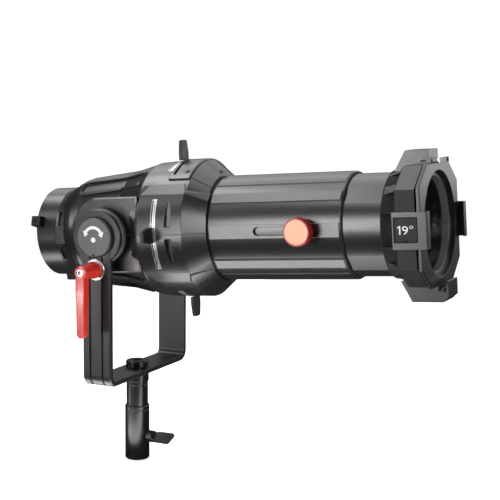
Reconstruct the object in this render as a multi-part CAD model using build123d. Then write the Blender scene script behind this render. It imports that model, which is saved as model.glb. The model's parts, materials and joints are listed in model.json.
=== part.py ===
from build123d import *
import math
import os

os.makedirs("parts", exist_ok=True)

# ------------------------------------------------------------------ frames
# Everything is drawn with the origin at the middle of the tilt pivot: X along
# the beam, Y away from the clamp side, Z up. The optical body is drawn level
# and then tipped nose-up; the whole is lifted so that the origin of the row
# is the mouth of the stand socket.
REST_TILT = 4.2
PIVOT_Z = 259.7
GAP = 0.3

# ------------------------------------------------------------ optical body
COLLAR_R = 49.0
COLLAR_REAR = -100.0
COLLAR_BORE = 43.5
NECK_REAR, NECK_FRONT = -74.0, -62.0
SPLIT_X = 40.0
GATE_R = 73.2
POD_R = 75.0
GATE_IN_R = 70.2
CONE_REAR, CONE_FRONT = 96.0, 114.5
CONE_R = 58.0
BARREL_R, BARREL_IN_R = 54.7, 52.56
BARREL_FRONT = 262.5
PAD_Y = 66.0
PAD_REAR = -37.5
PAD_HALF = 40.0

# ------------------------------------------------------------------ pivot
DISC_R, DISC_HUB_R = 29.3, 24.0
DISC_BACK, DISC_FACE = 73.6, 79.6
TRUNNION_R, BUSH_R = 10.0, 12.0
ARM_IN, ARM_OUT = 80.0, 85.7
ARM_HALF = 17.0
CAP_R, CAP_FACE = 20.5, 90.5
HEAD_PLATE_R, HEAD_PLATE_OUT = 28.6, 84.7
BAR_TOP = -154.9
BAR_BOTTOM = BAR_TOP - (ARM_OUT - ARM_IN)

# ------------------------------------------------------------------ clamp
CLAMP_Z = -34.0
STUD_R = 3.0
LEVER_BASE_R, LEVER_END_R = 9.0, 7.0
LEVER_BASE, LEVER_END = 88.5, 117.4
LEVER_DROP = 69.0
LEVER_TIP_R = 5.0
LEVER_HALF = 5.6

# --------------------------------------------------------------- shutters
BLADE_X = {"near": 61.0, "top": 64.5, "bottom": 68.0, "far": 71.5}
BLADE_TURN = {"top": 0, "near": 90, "bottom": 180, "far": 270}
BLADE_R = 66.2
BLADE_OPEN = 40.0
BLADE_TRAVEL = 24.0
BLADE_T = 1.0
SHANK_W = 9.0
SHOE_IN, SHOE_OUT = 67.0, 69.8
SHOE_HALF_DEG = 10
SLOT_HALF_DEG = 29
SLOT_W = 5.8
SLOT_SHIFT = 1.6
PADDLE_BASE = {"near": 75.8, "far": 75.8, "top": 74.1, "bottom": 74.1}
PADDLE_TIP = 96.0
PADDLE_T = 4.0
APERTURE_R = 39.0

# -------------------------------------------------------------- lens tube
TUBE_R, TUBE_IN_R = 52.5, 50.3
TUBE_REAR, TUBE_FRONT = 156.0, 342.0
HOLDER_REAR = 321.0
PLATE_REAR, PLATE_FRONT = 344.0, 347.5
PLATE_BORE = 53.0
HUB_R, HUB_REAR = 54.6, 304.0
SIDE_LIP = (353.4, 355.0)
GUSSET_DEG = (41, -43, 66, -66)
KNOB_X, KNOB_R = 222.0, 14.5
KNOB_SEAT, KNOB_FACE = 70.8, 72.2

# ---------------------------------------------------------------- receiver
SOCKET_R, SOCKET_OUT_R = 8.0, 13.7
SOCKET_TOP = -198.0
STUB_R, STUB_LOW = 9.5, -207.0
HEAD_R = 12.1
COLLAR_TOP, COLLAR_LOW = -162.2, -170.0
PAN_BOLT_R = 6.0
WING_Z = -233.0


# ------------------------------------------------------------------ helpers
def disc_x(r, x0, x1):
    return Location(((x0 + x1) / 2, 0, 0), (0, 90, 0)) * Cylinder(r, x1 - x0)


def disc_y(r, y0, y1, x=0.0, z=0.0):
    return Location((x, (y0 + y1) / 2, z), (90, 0, 0)) * Cylinder(r, abs(y1 - y0))


def disc_z(r, z0, z1, x=0.0, y=0.0):
    return Pos(x, y, (z0 + z1) / 2) * Cylinder(r, abs(z1 - z0))


def ring_x(r_out, r_in, x0, x1):
    return disc_x(r_out, x0, x1) - disc_x(r_in, x0 - 1, x1 + 1)


def block(x0, x1, y0, y1, z0, z1):
    size = Box(abs(x1 - x0), abs(y1 - y0), abs(z1 - z0))
    return Pos((x0 + x1) / 2, (y0 + y1) / 2, (z0 + z1) / 2) * size


def turned(points):
    """Body of revolution about X from (x, radius) points."""
    outline = [(x, 0, r) for x, r in points]
    return revolve(make_face(Polyline(outline, close=True)), Axis.X)


def turned_y(points, x=0.0, z=0.0):
    """Body of revolution about a line along Y from (y, radius) points."""
    outline = [(r, y, 0) for y, r in points]
    return Pos(x, 0, z) * revolve(make_face(Polyline(outline, close=True)), Axis.Y)


def turned_z(points):
    """Body of revolution about Z from (radius, z) points."""
    outline = [(r, 0, z) for r, z in points]
    return revolve(make_face(Polyline(outline, close=True)), Axis.Z)


def around(deg, r):
    """Y and Z of a point at an angle measured from -Y towards +Z."""
    a = math.radians(deg)
    return -r * math.cos(a), r * math.sin(a)


def prism_x(points, x0, x1):
    """Prism along X from (y, z) points."""
    face = make_face(Polyline([(x0, y, z) for y, z in points], close=True))
    return extrude(face, amount=x1 - x0, dir=(1, 0, 0))


def prism_y(points, y0, y1):
    """Prism along Y from (x, z) points."""
    face = make_face(Polyline([(x, y0, z) for x, z in points], close=True))
    return extrude(face, amount=y1 - y0, dir=(0, 1, 0))


def wedge(start, end, x0, x1, reach=130.0):
    """Prism along X that fills the angles from start to end."""
    steps = 6
    fan = [around(start + (end - start) * i / steps, reach) for i in range(steps + 1)]
    return prism_x([(0, 0)] + fan, x0, x1)


def arc_block(r_in, r_out, start, end, x0, x1):
    return ring_x(r_out, r_in, x0, x1) & wedge(start, end, x0, x1)


def mirrored(shape):
    """The same shape on the other side of the optical axis."""
    return mirror(shape, Plane.XZ)


def upper(shape):
    return shape & block(-200, 400, -150, 150, 0.15, 200)


def lower(shape):
    return shape & block(-200, 400, -150, 150, -200, -0.15)


def tipped(shape):
    """Level optical body to its place in the row."""
    return Pos(0, 0, PIVOT_Z) * Rot(0, -REST_TILT, 0) * shape


def raised(shape):
    return Pos(0, 0, PIVOT_Z) * shape


def save(name, *shapes):
    solids = [s for shape in shapes for s in shape.solids()]
    whole = solids[0] if len(solids) == 1 else Compound(solids)
    export_step(whole, f"parts/{name}.step")


# ------------------------------------------------------- rear casing halves
REAR_OUTER = [
    (COLLAR_REAR, COLLAR_R - 1),
    (COLLAR_REAR + 1, COLLAR_R),
    (NECK_REAR, COLLAR_R),
    (-68.0, 49.8),
    (-63.0, 51.6),
    (-58.0, 54.8),
    (-52.0, 57.4),
    (-46.0, 59.0),
    (12.0, 65.0),
    (34.0, 70.5),
    (SPLIT_X - 0.2, 72.2),
]
REAR_INNER = [
    (SPLIT_X - 0.2, 67.4),
    (36.0, 67.4),
    (36.0, 62.4),
    (12.0, 61.0),
    (-14.0, 58.6),
    (-14.0, 54.0),
    (-17.0, 54.0),
    (-17.0, 58.2),
    (-46.0, 55.0),
    (-57.0, 50.0),
    (-60.0, COLLAR_BORE),
    (COLLAR_REAR, COLLAR_BORE),
]
LUG_ANGLES = (17, 137, -103)
RAIL_DEG = 54


def rear_cavity():
    """Everything inside the rear casing wall, without the inner rib."""
    points = [(COLLAR_REAR - 1, 0), (COLLAR_REAR - 1, COLLAR_BORE), (-60, COLLAR_BORE)]
    points += [(-57, 50), (-46, 55), (12, 61.0), (36, 62.4), (36, 67.4)]
    points += [(SPLIT_X + 1, 67.4)]
    return turned(points + [(SPLIT_X + 1, 0)])


def side_pad():
    """Flat boss on the clamp side that carries the tilt disc."""
    pad = block(PAD_REAR, SPLIT_X - 0.2, -PAD_Y, -45, -PAD_HALF, PAD_HALF)
    corners = pad.edges().filter_by(Axis.Y).group_by(Axis.X)[0]
    pad = fillet(corners, 27)
    rim = pad.faces().sort_by(Axis.Y)[0].edges()
    return chamfer(rim, 1.6)


def rail(deg):
    """U-shaped raised rail along the casing, closed at its rear end."""
    outer = block(-48, 36, -12, 12, 45, 82)
    outer = fillet(outer.edges().filter_by(Axis.Z).group_by(Axis.X)[0], 8)
    inner = block(-43.5, 40, -8, 8, 40, 90)
    inner = fillet(inner.edges().filter_by(Axis.Z).group_by(Axis.X)[0], 4.5)
    crest = [(-50, 60.2), (-44, 62.0), (12, 67.8), (34, 73.0), (36, 73.2)]
    skin = turned([(-50, 50)] + crest + [(36, 50)])
    # deg counts from -Y towards +Z, and the U is drawn towards +Z
    return Rot(90 - deg, 0, 0) * (outer - inner) & skin


def seam_block():
    """Lug that holds the two halves together beside the neck."""
    lug = block(NECK_REAR, NECK_FRONT + 4, -52, -43, -9.5, 9.5)
    return chamfer(lug.edges().filter_by(Axis.Z).group_by(Axis.Y)[0], 0.8)


def lug_at(deg):
    lug = block(COLLAR_REAR - 1, -90, -5.5, 5.5, 46.5, 57.5)
    lug = chamfer(lug.edges().filter_by(Axis.X).group_by(Axis.Z)[-1], 0.8)
    return Rot(90 - deg, 0, 0) * lug


SEAM_SCREWS_X = (-10.0, 30.0)
SEAM_SCREW_Y = 61.5


def seam_screw(x, y):
    shank = disc_z(1.5, -22, PAD_HALF - 2.4, x, y)
    head = disc_z(2.75, PAD_HALF - 2.4, PAD_HALF - 0.2, x, y)
    hexagon = extrude(Pos(x, y, PAD_HALF - 1.4) * RegularPolygon(1.4, 6), 2)
    return shank + head - hexagon


def rear_casing():
    shell = turned(REAR_OUTER + REAR_INNER)
    cavity = rear_cavity()
    extras = side_pad()
    extras += mirrored(side_pad())
    for deg in (RAIL_DEG, 180 - RAIL_DEG, -RAIL_DEG, RAIL_DEG - 180):
        extras += rail(deg)
    extras += seam_block()
    extras += mirrored(seam_block())
    shell = shell + (extras - cavity)
    # flat seat for the tilt disc, blended up to the gate section
    seat = [(-40, 66), (30.5, 66), (SPLIT_X, 72.2), (SPLIT_X, 90), (-40, 90)]
    face = make_face(Polyline([(x, y, -PAD_HALF) for x, y in seat], close=True))
    seat_cut = extrude(face, amount=2 * PAD_HALF, dir=(0, 0, 1))
    shell -= seat_cut
    shell -= mirrored(seat_cut)
    # narrow slits above and below each seam lug show the bright liner
    for side in (-1, 1):
        for z in (17.5, -19.5):
            slit = Location((-69.5, side * 50, z), (90, 0, 0)) * extrude(
                SlotOverall(16, 3.6, rotation=90), 16, both=True
            )
            shell -= slit
    for deg in LUG_ANGLES:
        shell -= lug_at(deg)
    for side in (-1, 1):
        # the pivot bolt is threaded into the pad
        shell -= disc_y(4.0, side * 50, side * 70)
        for x in SEAM_SCREWS_X:
            y = side * SEAM_SCREW_Y
            shell -= disc_z(1.5, -22, PAD_HALF, x, y)
            shell -= disc_z(2.85, PAD_HALF - 2.4, PAD_HALF + 1, x, y)
    return shell


casing = rear_casing()
save("casing_rear_upper", tipped(upper(casing)))
save("casing_rear_lower", tipped(lower(casing)))
save("bayonet_lugs", *[tipped(lug_at(deg)) for deg in LUG_ANGLES])
save("collar_liner", tipped(ring_x(COLLAR_BORE - 0.05, 42.2, COLLAR_REAR + 3, -61)))

# ------------------------------------------------------- gate casing halves
GATE_PROFILE = [
    (36.3, 65.0),
    (36.3, 67.2),
    (SPLIT_X + 0.2, 67.2),
    (SPLIT_X + 0.2, 72.3),
    (56.0, GATE_R),
    (CONE_REAR, GATE_R),
    (CONE_FRONT, CONE_R),
    (CONE_FRONT, BARREL_R + 0.1),
    (108.0, BARREL_R + 0.1),
    (108.0, 61.0),
    (95.0, GATE_IN_R),
    (56.4, GATE_IN_R),
    (56.4, 66.0),
    (53.5, 66.0),
    (53.5, 70.0),
    (46.0, 70.0),
    (46.0, 65.0),
]
EDGE_DEG, EDGE_R = (33.3, 43.4), 74.4
SEAM_DEG = (51, 129, -51, -129)
VENT_X, VENT_FLOOR = 75.6, 71.0
GOBO_X = (74.1, 77.3)
COVER_X = (70.4, 95.2)
COVER_DEG = 41
COVER_SCREW_DEG = (57, 123)
COVER_SCREW_X = 90.0


def on_side(x, deg, r):
    """Point on the clamp side at an angle and radius."""
    return Vector(x, *around(deg, r))


def beyond(a, b, c):
    """Thick slab on the outer side of the plane through three points."""
    normal = (b - a).cross(c - a)
    if normal.dot(Vector(0, *around(EDGE_DEG[0], 1))) < 0:
        normal = -normal
    return Plane(origin=(a + b + c) / 3, z_dir=normal) * (Pos(0, 0, 15) * Box(90, 90, 30))


def side_body():
    """Raised side surface of the gate section and its faceted nose."""
    low, high = EDGE_DEG
    pod = arc_block(GATE_IN_R, POD_R, -high, high, 43.5, 95.5)
    rims = []
    for x, edge_r, r, inset in ((95.5, EDGE_R, POD_R, 30), (115.5, 57.2, 58.4, 25)):
        degs = (low, low / 2, 0, -low / 2, -low)
        points = [around(high, edge_r)] + [around(deg, r) for deg in degs]
        points += [around(-high, edge_r), (-inset, -1.4 * inset), (-inset, 1.4 * inset)]
        rims.append(make_face(Polyline([(x, y, z) for y, z in points], close=True)))
    nose = loft(rims, ruled=True)
    room = [(94, 0), (94, GATE_IN_R), (95, GATE_IN_R), (108, 61.0), (108, BARREL_R + 0.1)]
    nose -= turned(room + [(117, BARREL_R + 0.1), (117, 0)])
    whole = pod + nose
    # flat bevel along the edge, and slanted planes at its two ends
    foot, head = on_side(43.5, low, POD_R), on_side(52, high, EDGE_R)
    tip, top = on_side(96, low, POD_R), on_side(92, high, EDGE_R)
    planes = [beyond(foot, head, tip), beyond(foot, head, on_side(40.5, high, 72.3))]
    planes.append(beyond(tip, top, on_side(115.5, high, 57.2)))
    for cut in planes:
        whole = whole - cut - mirror(cut, Plane.XY)
    return whole


def seam_groove(deg):
    """Joint line down the cone, between its side and its top."""
    line = Rot(90 - deg, 0, 0) * block(94, 118, -0.4, 0.4, 40, 80)
    deep = [(94, 72.0), (96, 72.0), (CONE_FRONT, 56.8), (118, 56.8), (118, 90), (94, 90)]
    return line & turned(deep)


def vent(x, flip):
    """Scoop in the side surface, deep beside the seam and shallow at its tip."""
    outline = [(0, 7.8), (8, 7.8), (8, 14), (7.4, 22), (6.2, 29), (5.0, 34)]
    outline += [(3.6, 34), (2.0, 28), (0.6, 20)]
    slope = [(-90, 7), (-90, 34.6), (-67.2, 34.6), (-VENT_FLOOR, 7)]
    scoop = prism_y([(x + u, v) for u, v in outline], -80, -50) & prism_x(slope, 60, 100)
    return Pos(0, 0, 3.5) * mirror(scoop, Plane.XY) if flip else scoop


def slot_cut(name):
    x = BLADE_X[name] + SLOT_SHIFT
    start, end = 90 - SLOT_HALF_DEG, 90 + SLOT_HALF_DEG
    cut = arc_block(66, 80, start, end, x - SLOT_W / 2, x + SLOT_W / 2)
    return Rot(BLADE_TURN[name], 0, 0) * cut


def cover_screw(deg):
    shank = disc_z(1.5, 69.5, 73.8)
    head = disc_z(2.75, 73.8, 75.2)
    recess = extrude(Pos(0, 0, 74.5) * RegularPolygon(1.4, 6), 2)
    return Pos(COVER_SCREW_X, 0, 0) * Rot(90 - deg, 0, 0) * (shank + head - recess)


def cover_screw_hole(deg):
    hole = disc_z(1.5, 69, 80) + disc_z(2.85, 73.8, 80)
    return Pos(COVER_SCREW_X, 0, 0) * Rot(90 - deg, 0, 0) * hole


def gate_casing():
    shell = turned(GATE_PROFILE)
    side = side_body()
    shell += side
    shell += mirrored(side)
    for deg in SEAM_DEG:
        shell -= seam_groove(deg)
    shell -= arc_block(71.9, 80, 48, 132, COVER_X[1], COVER_X[1] + 1.2)
    for name in BLADE_X:
        shell -= slot_cut(name)
    for flip in (False, True):
        shell -= vent(VENT_X, flip)
        shell -= mirrored(vent(VENT_X + 4, flip))
    shell -= arc_block(66, 80, 54, 126, *GOBO_X)
    # boss over the cone, above the barrel root
    shell += block(108.5, 113, -5, 5, 57, 62.4)
    for deg in COVER_SCREW_DEG:
        shell -= cover_screw_hole(deg)
    return shell


gate = gate_casing()
save("casing_gate_upper", tipped(upper(gate)))
save("casing_gate_lower", tipped(lower(gate)))


def slot_cover():
    """Curved plate over the accessory slots, with the gobo slit through it."""
    plate = arc_block(GATE_R + 0.05, POD_R, 90 - COVER_DEG, 90 + COVER_DEG, *COVER_X)
    plate = chamfer(plate.edges().filter_by(GeomType.CIRCLE).group_by(SortBy.RADIUS)[-1], 0.6)
    plate -= arc_block(66, 80, 54, 126, *GOBO_X)
    for deg in COVER_SCREW_DEG:
        plate -= cover_screw_hole(deg)
    return plate


save("slot_cover", tipped(slot_cover()))
screws = [seam_screw(x, s * SEAM_SCREW_Y) for x in SEAM_SCREWS_X for s in (-1, 1)]
screws += [cover_screw(deg) for deg in COVER_SCREW_DEG]
save("casing_screws", *[tipped(s) for s in screws])


# ------------------------------------------------------------- gate stack
SLIT_HALF = 0.75
TRIM_R = {"near": 75.2, "far": 75.2, "top": 73.5, "bottom": 73.5}


def slot_trim(name):
    """Bright curved plate in a shutter slot, slit for the shank."""
    x, half = BLADE_X[name] + SLOT_SHIFT, SLOT_W / 2
    start, end = 90 - SLOT_HALF_DEG, 90 + SLOT_HALF_DEG
    outer = arc_block(GATE_IN_R + 0.2, TRIM_R[name], start, end, x - half, x + half)
    slit_x = BLADE_X[name]
    slit = arc_block(66, 80, start + 0.8, end - 0.8, slit_x - SLIT_HALF, slit_x + SLIT_HALF)
    groove = arc_block(TRIM_R[name] - 0.7, 80, start + 3, end - 3, slit_x + 2.3, slit_x + 2.9)
    return Rot(BLADE_TURN[name], 0, 0) * (outer - slit - groove)


save("slot_trims", *[tipped(slot_trim(name)) for name in BLADE_X])

PIN_R, PIN_AT = 1.2, 68.3
BOLT_HEAD_R = 1.7
REAR_PLATE = (56.4, 58.9)
FRONT_PLATE = (72.9, 74.0)
PLATE_R = 70.1
SPACER_T = 0.8
SPACER_X = (62.75, 66.25, 69.75)


def pin_at(deg, r, x0, x1):
    y, z = around(deg, PIN_AT)
    return Pos(0, y, z) * disc_x(r, x0, x1)


def pinned(plate):
    for deg in (45, 135, 225, 315):
        plate -= pin_at(deg, PIN_R, 50, 80)
    return plate


def spacer(x):
    """Thin separator between two shutter blades, held by four ears."""
    plate = ring_x(66.5, 42.0, x - SPACER_T / 2, x + SPACER_T / 2)
    for deg in (45, 135, 225, 315):
        plate += arc_block(60, PLATE_R, deg - 4, deg + 4, x - SPACER_T / 2, x + SPACER_T / 2)
    return pinned(plate)


def gate_bolt(deg):
    return pin_at(deg, PIN_R, REAR_PLATE[0], FRONT_PLATE[1]) + pin_at(
        deg, BOLT_HEAD_R, FRONT_PLATE[1], FRONT_PLATE[1] + 1.2
    )


save("gate_rear_plate", tipped(pinned(ring_x(PLATE_R, APERTURE_R, *REAR_PLATE))))
save("gate_front_plate", tipped(pinned(ring_x(PLATE_R, 42.0, *FRONT_PLATE))))
save("gate_spacers", *[tipped(spacer(x)) for x in SPACER_X])
save("gate_bolts", *[tipped(gate_bolt(deg)) for deg in (45, 135, 225, 315)])


# --------------------------------------------------------------- shutters
def blade(name):
    """Steel segment with a straight cutting edge, and its shank."""
    x = BLADE_X[name]
    half = BLADE_T / 2
    plate = disc_x(BLADE_R, x - half, x + half) & block(x - 2, x + 2, -70, 70, BLADE_OPEN, 70)
    corners = plate.edges().filter_by(Axis.X)
    plate = fillet(corners, 3)
    plate = Pos(0, 0, -BLADE_TRAVEL) * plate
    shank_top = PADDLE_TIP - 5
    shank = block(x - half, x + half, -SHANK_W / 2, SHANK_W / 2, BLADE_OPEN - BLADE_TRAVEL + 8, shank_top)
    return plate + shank


def shank_room(name, side, thick):
    x = BLADE_X[name]
    return block(x - thick, x + thick, -side, side, 60, PADDLE_TIP - 5)


def paddle(name):
    """Tapered heatproof grip moulded over the shank."""
    x = BLADE_X[name]
    base = PADDLE_BASE[name]
    outline = [(-8.25, base), (8.25, base), (8.25, base + 8)]
    outline += [(6, PADDLE_TIP), (-6, PADDLE_TIP), (-8.25, base + 8)]
    grip = prism_x(outline, x - PADDLE_T / 2, x + PADDLE_T / 2)
    grip = fillet(grip.edges().filter_by(Axis.X).group_by(Axis.Z)[-1], 2.5)
    grip = chamfer(grip.faces().filter_by(Axis.X).edges(), 0.7)
    return grip - shank_room(name, SHANK_W / 2, BLADE_T / 2)


def shoe(name):
    """Curved slider behind the slot: it swings, and the shank slides in it."""
    x = BLADE_X[name]
    body = arc_block(
        SHOE_IN, SHOE_OUT, 90 - SHOE_HALF_DEG, 90 + SHOE_HALF_DEG, x - 1.2, x + 1.2
    )
    return body - shank_room(name, SHANK_W / 2 + 0.06, BLADE_T / 2 + 0.06)


for name, turn in BLADE_TURN.items():
    save(f"shutter_shoe_{name}", tipped(Rot(turn, 0, 0) * shoe(name)))
    save(f"shutter_blade_{name}", tipped(Rot(turn, 0, 0) * blade(name)))
    save(f"shutter_paddle_{name}", tipped(Rot(turn, 0, 0) * paddle(name)))


# --------------------------------------------------------------- condenser
CELL_R, CELL_IN_R = 49.0, 46.5


def condenser_cell():
    """Tube with a flange that seats against the rib in the casing."""
    profile = [(-34, 44.0), (-34, CELL_R), (-20, CELL_R), (-20, 57.4), (-17, 57.4)]
    profile += [(-17, CELL_R), (18, CELL_R), (18, CELL_IN_R), (-32, CELL_IN_R), (-32, 44.0)]
    return turned(profile)


def dome_lens(x_flat, x_edge, x_top, edge_r):
    """Plano-convex lens: flat at x_flat, edge up to x_edge, dome up to x_top."""
    rise = abs(x_top - x_edge)
    sphere_r = (edge_r**2 + rise**2) / (2 * rise)
    toward = 1 if x_top > x_edge else -1
    ball = Pos(x_top - toward * sphere_r, 0, 0) * Sphere(sphere_r)
    return disc_x(edge_r, min(x_flat, x_top), max(x_flat, x_top)) & ball


save("condenser_cell", tipped(condenser_cell()))
save("condenser_lens_rear", tipped(dome_lens(-31.9, -28.5, -15.0, CELL_IN_R - 0.05)))
save("condenser_lens_front", tipped(dome_lens(12.0, 8.6, -5.0, CELL_IN_R - 0.05)))
save("condenser_ring", tipped(ring_x(CELL_IN_R - 0.05, 43.5, 12.1, 15.0)))


# ------------------------------------------------------------------ barrel
def flat_rib(start, end, crest_r, x0, x1):
    """Flat-topped strip along the barrel between two angles."""
    y0, z0 = around(start, BARREL_R - 0.6)
    y1, z1 = around(start, crest_r)
    y2, z2 = around(end, crest_r)
    y3, z3 = around(end, BARREL_R - 0.6)
    return prism_x([(y0, z0), (y1, z1), (y2, z2), (y3, z3)], x0, x1)


def barrel():
    profile = [(105, BARREL_IN_R), (105, 60), (108, 60), (108, BARREL_R)]
    profile += [(BARREL_FRONT - 0.8, BARREL_R), (BARREL_FRONT, BARREL_R - 0.8)]
    tube = turned(profile + [(BARREL_FRONT, BARREL_IN_R)])
    spans = ((31.8, 43.3), (-44.3, -32.7), (-7.3, 7.3), (57, 123), (-123, -57))
    for start, end in spans:
        if end - start > 20:
            tube += arc_block(BARREL_R - 0.5, BARREL_R + 0.8, start, end, 118, BARREL_FRONT - 1.5)
            continue
        tube += flat_rib(start, end, 56.2, 118, BARREL_FRONT - 1.5)
        tube += flat_rib(180 - end, 180 - start, 56.0, 118, BARREL_FRONT - 1.5)
    slot = block(172.4, 228.4, -70, -45, -4.4, 4.4)
    slot += disc_y(4.4, -70, -45, 172.4) + disc_y(4.4, -70, -45, 228.4)
    return tube - disc_x(BARREL_IN_R, 100, 270) - slot


save("barrel", tipped(barrel()))


# --------------------------------------------------------------- lens tube
def lens_tube():
    tube = ring_x(TUBE_R, TUBE_IN_R, TUBE_REAR, TUBE_FRONT)
    # shoulder in front of the front lens
    tube += ring_x(TUBE_IN_R + 0.5, 47.6, 324.3, 334.5)
    for deg in (41, -43, 139, -137):
        flat = block(TUBE_REAR - 1, HOLDER_REAR - 8, -40, 40, TUBE_R - 1.05, 70)
        tube -= Rot(90 - deg, 0, 0) * flat
    # threaded hole for the focus stud
    return tube - disc_y(2.5, -60, -40, KNOB_X)


def front_lens():
    return dome_lens(318, 323, 331, TUBE_IN_R - 0.05)


def rear_lens():
    return dome_lens(204, 199, 190, TUBE_IN_R - 0.05)


save("lens_tube", tipped(lens_tube()))
save("lens_front", tipped(front_lens()))
save("lens_rear", tipped(rear_lens()))
save(
    "lens_rings",
    tipped(ring_x(TUBE_IN_R - 0.05, 46.5, 314.6, 317.8)),
    tipped(ring_x(TUBE_IN_R - 0.05, 47.6, 334.8, 341.8)),
    tipped(ring_x(TUBE_IN_R - 0.05, 46.5, 204.1, 207.3)),
)


def octagon(width, height, flat_z, flat_y, x0, x1):
    """Eight-sided prism: half width and height, and the ends of its flats."""
    points = [(width, -flat_z), (width, flat_z), (flat_y, height), (-flat_y, height)]
    points += [(-width, flat_z), (-width, -flat_z), (-flat_y, -height), (flat_y, -height)]
    return prism_x(points, x0, x1)


def side_claw():
    """Channel bracket on the clamp side that holds a colour frame's edge."""
    claw = block(319, SIDE_LIP[1], -68.5, -59, -19, 17)
    claw -= block(PLATE_FRONT, SIDE_LIP[0], -66.5, -50, -30, 30)
    claw = chamfer(claw.edges().filter_by(Axis.Z).group_by(Axis.Y)[0], 1.0)
    # two ribs carry the bracket back to the hub
    for z in (15.4, -19):
        web = [(HUB_REAR, -52), (HUB_REAR, -HUB_R), (320, -64.5), (342, -64.5), (342, -52)]
        face = make_face(Polyline([(x, y, z) for x, y in web], close=True))
        claw += extrude(face, amount=1.6, dir=(0, 0, 1))
    return claw


def gusset(deg, half_width):
    """Sloping rib between the hub and the drum."""
    outline = [(HUB_REAR, 52), (HUB_REAR, HUB_R), (HOLDER_REAR, 60.5), (341, 60.5)]
    rib = prism_y(outline + [(341, 52)], -half_width, half_width)
    return Rot(90 - deg, 0, 0) * rib


def foot_claw():
    """Bottom bracket that carries the colour frame."""
    outline = [(309, -56), (320, -77), (352, -77), (357.5, -72), (357.5, -56)]
    claw = prism_y(outline, -16, 16)
    claw -= block(PLATE_FRONT, 351.2, -40, 40, -66.5, -50)
    claw -= block(352.4, 355.2, -40, 40, -66.5, -50)
    return claw - block(PLATE_FRONT, 355.2, -40, 40, -63.0, -50)


def head_claw():
    """Top block behind the plate; the frame drops in just in front of it."""
    outline = [(307, 53), (319, 74), (343, 74), (343, 56)]
    return prism_y(outline, -16, 16)


LATCH_Y, LATCH_Z = -17.0, 62.5
LATCH_PIN_R = 1.5
LATCH_END = 22.0
LABEL = (321.5, 345.5, -12.5, 12.0)


def front_holder():
    drum = octagon(64.2, 59.5, 38, 34, HOLDER_REAR, 342)
    drum = chamfer(drum.faces().sort_by(Axis.X)[0].edges(), 2.0)
    # the drum is a hollow shell, open to the rear around a short hub
    drum -= octagon(60.7, 57.4, 36.5, 32.5, HOLDER_REAR - 1, 339)
    drum += disc_x(HUB_R, HUB_REAR, 342)
    for deg in GUSSET_DEG:
        for angle in (deg, 180 - deg):
            drum += gusset(angle, 4.5 if abs(deg) < 50 else 1.2)
    neck = disc_x(57, 341, 345)
    plate = octagon(64.5, 61, 40, 36, PLATE_REAR, PLATE_FRONT)
    plate = chamfer(plate.faces().sort_by(Axis.X)[-1].edges(), 0.8)
    whole = drum + neck + plate
    whole += side_claw() + mirrored(side_claw()) + foot_claw() + head_claw()
    x0, x1, z0, z1 = LABEL
    whole -= block(x0, x1, -70, -67.5, z0, z1)
    whole -= disc_x(TUBE_R, 290, TUBE_FRONT) + disc_x(PLATE_BORE, TUBE_FRONT, 360)
    # ear for the latch pin
    ear = block(342, PLATE_FRONT, LATCH_Y - 5, LATCH_Y + 5, 58, 66)
    return whole + ear - Pos(0, LATCH_Y, LATCH_Z) * disc_x(LATCH_PIN_R, 335, 360)


save("front_holder", tipped(front_holder()))


def label_plate():
    x0, x1, z0, z1 = LABEL
    plate = block(x0 + 0.2, x1 - 0.2, -68.2, -67.5, z0 + 0.2, z1 - 0.2)
    return fillet(plate.edges().filter_by(Axis.Y), 1.0)


save("label_plate", tipped(label_plate()))


# -------------------------------------------------------------------- latch
def latch_pin():
    pin = disc_x(LATCH_PIN_R, 342, 353.2) + disc_x(2.8, 352.4, 354)
    return Pos(0, LATCH_Y, LATCH_Z) * pin


def latch():
    bar = block(347.9, 352.1, LATCH_Y - 4, LATCH_END, 60.2, 64.8)
    bar = fillet(bar.edges().filter_by(Axis.X), 1.8)
    return bar - Pos(0, LATCH_Y, LATCH_Z) * disc_x(LATCH_PIN_R + 0.06, 335, 360)


save("latch_pin", tipped(latch_pin()))
save("frame_latch", tipped(latch()))


# ---------------------------------------------------------------- focus lock
def focus_stud():
    """Guide shoe in the barrel slot with a threaded stud for the knob."""
    guide = block(KNOB_X - 6.5, KNOB_X + 6.5, -56.6, -52.7, -4.3, 4.3)
    guide = fillet(guide.edges().filter_by(Axis.Y), 4.2)
    return guide + disc_y(2.5, -TUBE_IN_R, -KNOB_SEAT + 2.5, KNOB_X)


def focus_knob():
    body = turned_y(
        [(-57.0, 0), (-57.0, 9), (-59.5, 9), (-61, 13.6), (-62, KNOB_R)]
        + [(-KNOB_FACE + 1, KNOB_R), (-KNOB_FACE, 13.6), (-KNOB_FACE, 12.4)]
        + [(-KNOB_SEAT, 12.4), (-KNOB_SEAT, 0)],
        KNOB_X,
    )
    teeth = 30
    for i in range(teeth):
        a = 2 * math.pi * i / teeth
        x, z = KNOB_X + KNOB_R * math.cos(a), KNOB_R * math.sin(a)
        body -= disc_y(1.0, -80, -61.0, x, z)
    return body - disc_y(2.55, -KNOB_SEAT + 2, -50, KNOB_X)


def focus_face():
    return disc_y(12.35, -KNOB_FACE + 0.2, -KNOB_SEAT, KNOB_X)


save("focus_stud", tipped(focus_stud()))
save("focus_knob", tipped(focus_knob()))
save("focus_knob_face", tipped(focus_face()))


# ------------------------------------------------------------- tilt pivot
def tilt_disc():
    """Clamp disc with its trunnion, screwed to the side pad."""
    profile = [(-PAD_Y, 0), (-PAD_Y, DISC_HUB_R), (-DISC_BACK, DISC_HUB_R)]
    profile += [(-DISC_BACK, DISC_R), (-DISC_FACE + 0.8, DISC_R), (-DISC_FACE, DISC_R - 0.8)]
    profile += [(-DISC_FACE, TRUNNION_R), (-ARM_OUT - 0.2, TRUNNION_R), (-ARM_OUT - 0.2, 0)]
    return turned_y(profile) - disc_y(4.0, -50, -100)


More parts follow.
